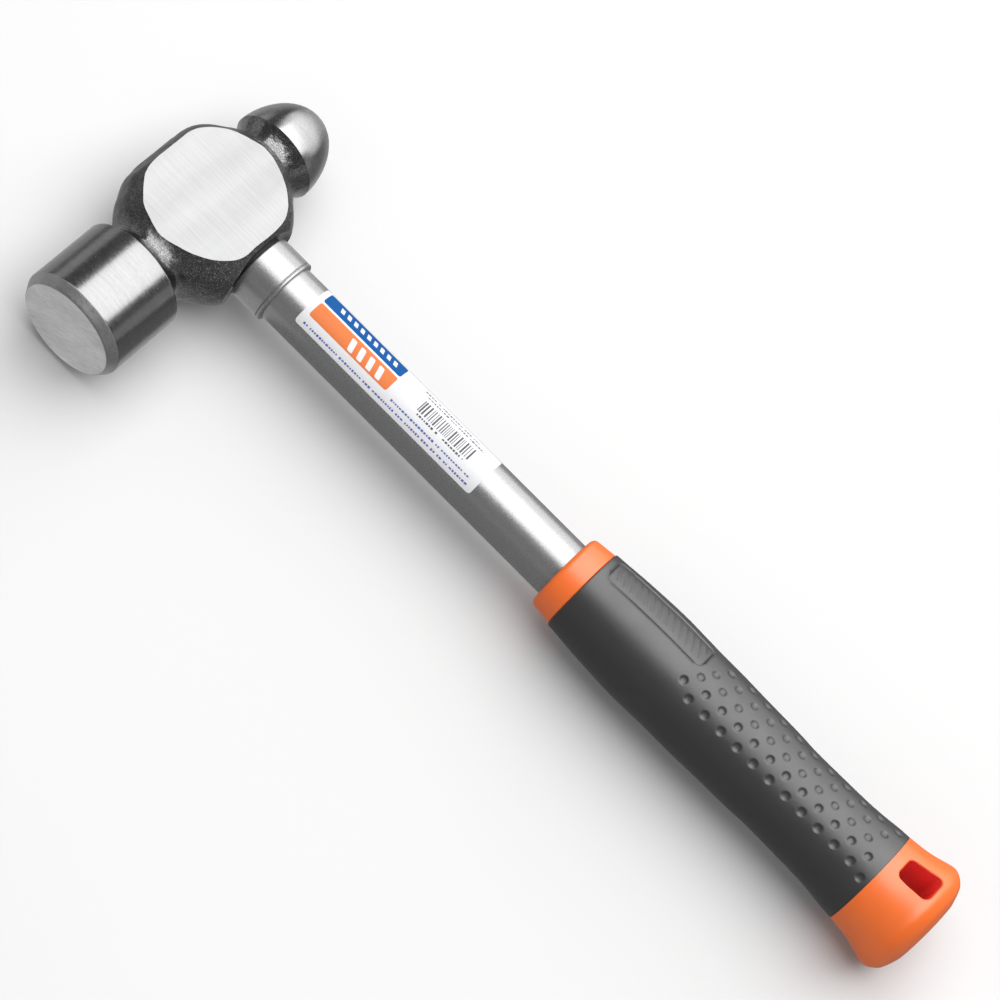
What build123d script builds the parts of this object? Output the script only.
"""Ball peen hammer: forged head on a tubular steel handle, with a two-colour moulded grip.

The hammer lies on its side. The handle runs along +X, from head to butt. The head runs along Y,
with the striking face at -Y and the ball at +Y. +Z is up, square to the head's ground cheeks.
The origin is under the middle of the hammer's box, on the surface it lies on.

Every length "along the handle" is measured from the head's centre, where the handle's axis
crosses the head's axis, and every length "along the head" is measured from there too.
"""
from build123d import *
import os

os.makedirs("parts", exist_ok=True)

# ---------------------------------------------------------------- driving dimensions, mm
# Striking end, from the ground face back to its rim
face_y = -67.8
face_radius = 18.4
face_chamfer = 3.5
poll_radius = 20.6
poll_rim_y = -36.0

# Ball end: a tall bullet-shaped dome above a sharp ground rim
ball_rim_y = 34.0
ball_radius = 16.8
ball_height = 22.0
ball_side_fullness = 0.4
ball_crown_fullness = 0.65

# Necks: the fillets under the two rims start and end at these places along the head
neck_radius = 14.0
poll_neck_y = -29.8
poll_fillet = (16.3, -33.1)
ball_neck_y = 27.8
ball_fillet = (14.9, 30.4)

# Forged body between the necks, fuller on the striking side. Each point is (out, along the head)
barrel_radius = 26.9
barrel_flat = 12.0
poll_shoulder = ((26.0, -16.4), (23.8, -19.6), (16.9, -26.7))
ball_shoulder = ((25.3, 16.2), (22.8, 19.6), (16.2, 26.4))
body_root_radius = 11.5
body_end_y = 28.6
cheek_z = 14.8
cheek_radius = 25.2
cheek_bevel = 1.1

# Eye, and the dished seat that the collar faces, along the handle
eye_radius = 9.1
eye_flare = 1.0
eye_flare_start = -19.0
seat_x = 23.6
seat_radius = 13.5
seat_slope = 0.65

# Steel tube of the handle
tube_radius = 11.1
tube_wall = 1.6
tube_crown_end = -24.8
tube_butt_end = 311.0

# Collar under the head
collar_start = 25.0
collar_end = 38.2
collar_radius = 12.6
collar_lip = 0.35
collar_lip_width = 1.4

# Plugs inside the tube
expander_end = -12.0
plug_sink = 0.1
damper_end = 60.0
end_plug_flange = 1.5
end_plug_depth = 12.0
plug_chamfer = 1.0

# Paper label on the tube
label_start = 48.2
label_end = 130.7
label_half_width = 8.7
label_thickness = 0.15
label_corner = 1.2

# Moulded grip, along the handle
grip_start = 170.1
ring_end = 179.3
ring_radius = 15.85
ring_taper = 0.75
ring_nose = ((170.1, 13.25), (170.6, 14.5))
ring_nose_length = 2.0
core_radius = 13.4
rubber_end = 314.1
rubber_end_radius = 18.7

# Flared butt: points (along the handle, out) between the rubber's end, the rim and the rear face
butt_flare = ((321.3, 19.5), (327.8, 20.9))
butt_rim_x = 331.8
butt_radius = 22.0
butt_back = ((334.9, 21.1), (337.9, 18.0))
butt_end = 339.5

# Rubber sleeve: its edge at the ring, and its swells and waists (along the handle, out)
rubber_step = 0.5
rubber_edge = 0.3
rubber_profile = ((192.0, 17.35), (212.0, 18.2), (238.7, 17.8), (276.0, 16.95), (298.0, 17.35))

# Lanyard slot through the butt, a little wider at its rear end
slot_front = 318.7
slot_rear = 331.7
slot_front_width = 8.6
slot_rear_width = 11.2
slot_side = 2.0
slot_corner = 2.4

# ---------------------------------------------------------------- frame
# The head's centre, placed so that the origin is under the middle of the hammer's box
centre = Vector(
    (barrel_radius - butt_end) / 2,
    -(face_y + ball_rim_y + ball_height) / 2,
    butt_radius,
)
plan = Plane(origin=centre, x_dir=(1, 0, 0), z_dir=(0, 0, 1))
across = Plane(origin=centre, x_dir=(1, 0, 0), z_dir=(0, -1, 0))
handle_axis = Axis(centre, (1, 0, 0))
head_axis = Axis(centre, (0, 1, 0))
cheek_axis = Axis(centre, (0, 0, 1))

# ---------------------------------------------------------------- hammer head
barrel_top = (barrel_radius, barrel_flat)
barrel_bottom = (barrel_radius, -barrel_flat)
ball_tip_y = ball_rim_y + ball_height
past_crown = -barrel_radius - 1
past_seat = barrel_radius + 1

with BuildPart() as hammer_head:
    # Forged body: a barrel with sloping shoulders, turned about the head's axis
    with BuildSketch(plan):
        with BuildLine():
            Line(barrel_bottom, barrel_top)
            ThreePointArc(barrel_top, *ball_shoulder[:2])
            Polyline(*ball_shoulder[1:], (body_root_radius, body_end_y), (0, body_end_y))
            Line((0, body_end_y), (0, -body_end_y))
            Polyline((0, -body_end_y), (body_root_radius, -body_end_y), poll_shoulder[2], poll_shoulder[1])
            ThreePointArc(poll_shoulder[1], poll_shoulder[0], barrel_bottom)
        make_face()
    revolve(axis=head_axis)

    # Ground cheeks: two flats, with a bevelled shoulder round each
    with BuildSketch(across):
        Polygon(
            (0, -cheek_z),
            (cheek_radius, -cheek_z),
            (cheek_radius + cheek_bevel * cheek_z, 0),
            (cheek_radius, cheek_z),
            (0, cheek_z),
            align=None,
        )
    revolve(axis=cheek_axis, mode=Mode.INTERSECT)

    # Striking end, both necks and the ball, turned about the head's axis
    with BuildSketch(plan):
        with BuildLine():
            Polyline(
                (0, face_y),
                (face_radius, face_y),
                (poll_radius, face_y + face_chamfer),
                (poll_radius, poll_rim_y),
            )
            ThreePointArc((poll_radius, poll_rim_y), poll_fillet, (neck_radius, poll_neck_y))
            Line((neck_radius, poll_neck_y), (neck_radius, ball_neck_y))
            ThreePointArc((neck_radius, ball_neck_y), ball_fillet, (ball_radius, ball_rim_y))
            Bezier(
                (ball_radius, ball_rim_y),
                (ball_radius, ball_rim_y + ball_side_fullness * ball_height),
                (ball_crown_fullness * ball_radius, ball_tip_y),
                (0, ball_tip_y),
            )
            Line((0, ball_tip_y), (0, face_y))
        make_face()
    revolve(axis=head_axis)

    # Eye: a round hole that flares at the crown, with a countersink and a dished seat below
    with BuildSketch(plan):
        Polygon(
            (past_crown, 0),
            (past_crown, eye_radius + eye_flare),
            (tube_crown_end, eye_radius + eye_flare),
            (eye_flare_start, eye_radius),
            (seat_x + eye_radius - tube_radius, eye_radius),
            (seat_x, tube_radius),
            (seat_x, seat_radius),
            (past_seat, seat_radius + (past_seat - seat_x) / seat_slope),
            (past_seat, 0),
            align=None,
        )
    revolve(axis=handle_axis, mode=Mode.SUBTRACT)
hammer_head.part.label = "hammer_head"
export_step(hammer_head.part, "parts/hammer_head.step")

# ---------------------------------------------------------------- handle tube
tube_bore = tube_radius - tube_wall
neck_bore = eye_radius - tube_wall
swage_start = seat_x + eye_radius - tube_radius

with BuildPart() as handle_tube:
    # Reduced where it enters the eye, and flared at the crown
    with BuildSketch(plan):
        Polygon(
            (tube_crown_end, neck_bore + eye_flare),
            (tube_crown_end, eye_radius + eye_flare),
            (eye_flare_start, eye_radius),
            (swage_start, eye_radius),
            (seat_x, tube_radius),
            (tube_butt_end, tube_radius),
            (tube_butt_end, tube_bore),
            (seat_x + tube_wall / 2, tube_bore),
            (swage_start + tube_wall / 2, neck_bore),
            (eye_flare_start, neck_bore),
            align=None,
        )
    revolve(axis=handle_axis)
handle_tube.part.label = "handle_tube"
export_step(handle_tube.part, "parts/handle_tube.step")

# ---------------------------------------------------------------- collar under the head
with BuildPart() as head_collar:
    # A short sleeve with a rolled lip at its lower end
    with BuildSketch(plan):
        with BuildLine():
            Polyline(
                (collar_end, tube_radius),
                (collar_start, tube_radius),
                (collar_start, collar_radius - collar_lip),
                (collar_start + collar_lip, collar_radius),
                (collar_end - collar_lip_width, collar_radius),
            )
            ThreePointArc(
                (collar_end - collar_lip_width, collar_radius),
                (collar_end - collar_lip_width / 2, collar_radius + collar_lip),
                (collar_end, collar_radius - collar_lip / 2),
            )
            Line((collar_end, collar_radius - collar_lip / 2), (collar_end, tube_radius))
        make_face()
    revolve(axis=handle_axis)
head_collar.part.label = "head_collar"
export_step(head_collar.part, "parts/head_collar.step")

# ---------------------------------------------------------------- expander plug in the crown
with BuildPart() as eye_expander:
    # A tapered steel plug: its head covers the tube's end and is ground flush with the crown
    with BuildSketch(plan):
        Polygon(
            (past_crown, 0),
            (past_crown, eye_radius + eye_flare),
            (tube_crown_end, eye_radius + eye_flare),
            (tube_crown_end, neck_bore + eye_flare),
            (eye_flare_start, neck_bore),
            (expander_end, neck_bore),
            (expander_end, 0),
            align=None,
        )
    revolve(axis=handle_axis)
    with BuildSketch(across):
        Circle(barrel_radius - plug_sink)
    extrude(amount=seat_radius, both=True, mode=Mode.INTERSECT)
eye_expander.part.label = "eye_expander"
export_step(eye_expander.part, "parts/eye_expander.step")

# ---------------------------------------------------------------- wooden damping plug
with BuildPart() as damping_plug:
    with BuildSketch(plan):
        Polygon(
            (expander_end, 0),
            (expander_end, neck_bore),
            (swage_start + tube_wall / 2, neck_bore),
            (seat_x + tube_wall / 2, tube_bore),
            (damper_end, tube_bore),
            (damper_end, 0),
            align=None,
        )
    revolve(axis=handle_axis)
    chamfer(damping_plug.edges().filter_by(GeomType.CIRCLE).group_by(Axis.X)[-1], plug_chamfer)
damping_plug.part.label = "damping_plug"
export_step(damping_plug.part, "parts/damping_plug.step")

# ---------------------------------------------------------------- plug in the tube's butt end
with BuildPart() as tube_end_plug:
    with BuildSketch(plan):
        Polygon(
            (tube_butt_end - end_plug_depth, 0),
            (tube_butt_end - end_plug_depth, tube_bore),
            (tube_butt_end, tube_bore),
            (tube_butt_end, tube_radius),
            (tube_butt_end + end_plug_flange, tube_radius),
            (tube_butt_end + end_plug_flange, 0),
            align=None,
        )
    revolve(axis=handle_axis)
    chamfer(tube_end_plug.edges().filter_by(GeomType.CIRCLE).group_by(Axis.X)[0], plug_chamfer)
tube_end_plug.part.label = "tube_end_plug"
export_step(tube_end_plug.part, "parts/tube_end_plug.step")

# ---------------------------------------------------------------- label on the tube
with BuildPart() as handle_label:
    # A rounded sheet, wrapped on the side of the tube that faces up
    with BuildSketch(plan):
        with Locations(((label_start + label_end) / 2, tube_radius + label_thickness / 2)):
            Rectangle(label_end - label_start, label_thickness)
    revolve(axis=handle_axis)
    with BuildSketch(plan):
        with Locations(((label_start + label_end) / 2, 0)):
            RectangleRounded(label_end - label_start, 2 * label_half_width, label_corner)
    extrude(amount=tube_radius + 2 * label_thickness, mode=Mode.INTERSECT)
handle_label.part.label = "handle_label"
export_step(handle_label.part, "parts/handle_label.step")

# ---------------------------------------------------------------- grip core, with ring and butt
nose_end = (grip_start + ring_nose_length, ring_radius - ring_taper)
rubber_joint = (rubber_end, rubber_end_radius)
butt_rim = (butt_rim_x, butt_radius)

with BuildPart() as grip_core:
    with BuildSketch(plan):
        with BuildLine():
            Polyline(
                (butt_end, 0),
                (tube_butt_end + end_plug_flange, 0),
                (tube_butt_end + end_plug_flange, tube_radius),
                (grip_start, tube_radius),
                ring_nose[0],
            )
            ThreePointArc(*ring_nose, nose_end)
            Polyline(
                nose_end,
                (ring_end, ring_radius),
                (ring_end, core_radius),
                (rubber_end, core_radius),
                rubber_joint,
            )
            Spline(rubber_joint, *butt_flare, butt_rim, tangents=[(1, 0.05), (1, 0)])
            Spline(butt_rim, *butt_back, (butt_end, 0), tangents=[(1, 0), (0, -1)])
        make_face()
    revolve(axis=handle_axis)

    # Lanyard slot, from one side of the butt to the other
    with BuildSketch(plan) as slot_sketch:
        Polygon(
            (slot_front, slot_side - slot_front_width / 2),
            (slot_rear, slot_side - slot_rear_width / 2),
            (slot_rear, slot_side + slot_rear_width / 2),
            (slot_front, slot_side + slot_front_width / 2),
            align=None,
        )
        fillet(slot_sketch.vertices(), slot_corner)
    extrude(amount=butt_radius + 1, both=True, mode=Mode.SUBTRACT)
grip_core.part.label = "grip_core"
export_step(grip_core.part, "parts/grip_core.step")

# ---------------------------------------------------------------- rubber sleeve over the core
sleeve_front_radius = ring_radius + rubber_step
sleeve_front = (ring_end + rubber_edge, sleeve_front_radius)

with BuildPart() as grip_sleeve:
    with BuildSketch(plan):
        with BuildLine():
            Polyline(
                rubber_joint,
                (rubber_end, core_radius),
                (ring_end, core_radius),
                (ring_end, sleeve_front_radius - rubber_edge),
                sleeve_front,
            )
            Spline(sleeve_front, *rubber_profile, rubber_joint)
        make_face()
    revolve(axis=handle_axis)
grip_sleeve.part.label = "grip_sleeve"
export_step(grip_sleeve.part, "parts/grip_sleeve.step")
